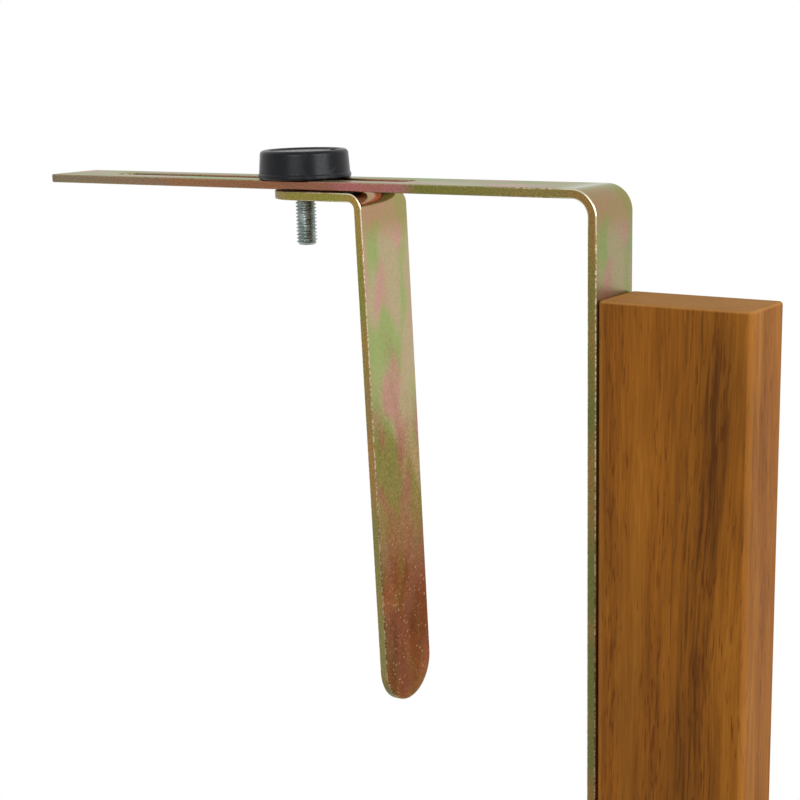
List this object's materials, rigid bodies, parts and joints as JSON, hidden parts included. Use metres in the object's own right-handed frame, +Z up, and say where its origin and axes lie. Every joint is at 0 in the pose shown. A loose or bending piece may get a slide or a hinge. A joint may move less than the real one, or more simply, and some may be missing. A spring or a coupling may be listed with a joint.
{
  "type": "folding balcony table",
  "caption": "Slatted wooden balcony table that hangs from a railing on slotted steel hooks with screw clamps, and folds flat against its frame on a hinged prop.",
  "frame": {"origin": "midway between the hooks, where the underside of their arms meets the rear of their straps: the inner corner that sits on the railing", "axes": "+X from the railing out over the tabletop, +Y along the railing to the right as the user faces the railing, +Z up"},
  "size_m": [0.6245, 0.6, 0.6656],
  "materials": {
    "oiled_acacia": "oiled, satin",
    "yellow_zinc_steel": "zinc plated and yellow chromated, satin",
    "blue_zinc_steel": "zinc plated and blue passivated",
    "black_plastic": "moulded, satin",
    "brass": "machined"
  },
  "bodies": {
    "frame": {"left_upright": "oiled_acacia", "right_upright": "oiled_acacia", "upper_rail": "oiled_acacia", "lower_rail": "oiled_acacia", "left_hook_strap": "yellow_zinc_steel", "right_hook_strap": "yellow_zinc_steel", "strap_screws": "yellow_zinc_steel", "frame_screws": "blue_zinc_steel", "leaf_pivot_bolts": "blue_zinc_steel", "leaf_pivot_washers": "blue_zinc_steel", "leaf_pivot_nuts": "blue_zinc_steel", "prop_pivot_bolts": "blue_zinc_steel", "prop_pivot_washers": "blue_zinc_steel", "prop_insert_nuts": "brass"},
    "tabletop": {"left_apron": "oiled_acacia", "right_apron": "oiled_acacia", "slat_1": "oiled_acacia", "slat_2": "oiled_acacia", "slat_3": "oiled_acacia", "slat_4": "oiled_acacia", "slat_5": "oiled_acacia", "slat_6": "oiled_acacia", "slat_7": "oiled_acacia", "slat_8": "oiled_acacia", "slat_screws": "blue_zinc_steel", "left_catch_block": "oiled_acacia", "right_catch_block": "oiled_acacia", "catch_screws": "blue_zinc_steel"},
    "prop": {"left_prop_leg": "oiled_acacia", "right_prop_leg": "oiled_acacia", "prop_bar": "oiled_acacia", "prop_rail": "oiled_acacia", "prop_screws": "blue_zinc_steel"},
    "left_clamp": {"left_clamp_bracket": "yellow_zinc_steel"},
    "right_clamp": {"right_clamp_bracket": "yellow_zinc_steel"},
    "left_knob": {"left_knob_cap": "black_plastic", "left_knob_bolt": "blue_zinc_steel"},
    "right_knob": {"right_knob_cap": "black_plastic", "right_knob_bolt": "blue_zinc_steel"}
  },
  "joints": [
    {"name": "table_fold", "type": "hinge", "parent": "frame", "child": "tabletop", "pos_m": [0.023, 0, -0.2385], "axis": [0, 1, 0], "range_deg": [0, 90]},
    {"name": "prop_fold", "type": "hinge", "parent": "frame", "child": "prop", "pos_m": [0.0335, 0, -0.3585], "axis": [0, 1, 0], "range_deg": [0, 124.91]},
    {"name": "left_clamp_slide", "type": "slide", "parent": "frame", "child": "left_clamp", "axis": [1, 0, 0], "range_m": [-0.069, 0.034]},
    {"name": "left_knob_turn", "type": "hinge", "parent": "left_clamp", "child": "left_knob", "pos_m": [-0.096, -0.23, 0], "axis": [0, 0, 1], "continuous": true},
    {"name": "right_clamp_slide", "type": "slide", "parent": "frame", "child": "right_clamp", "axis": [1, 0, 0], "range_m": [-0.069, 0.034]},
    {"name": "right_knob_turn", "type": "hinge", "parent": "right_clamp", "child": "right_knob", "pos_m": [-0.096, 0.23, 0], "axis": [0, 0, 1], "continuous": true}
  ],
  "couplings": [
    {"joint": "prop_fold", "follows": "table_fold", "ratio": 1.3878}
  ]
}
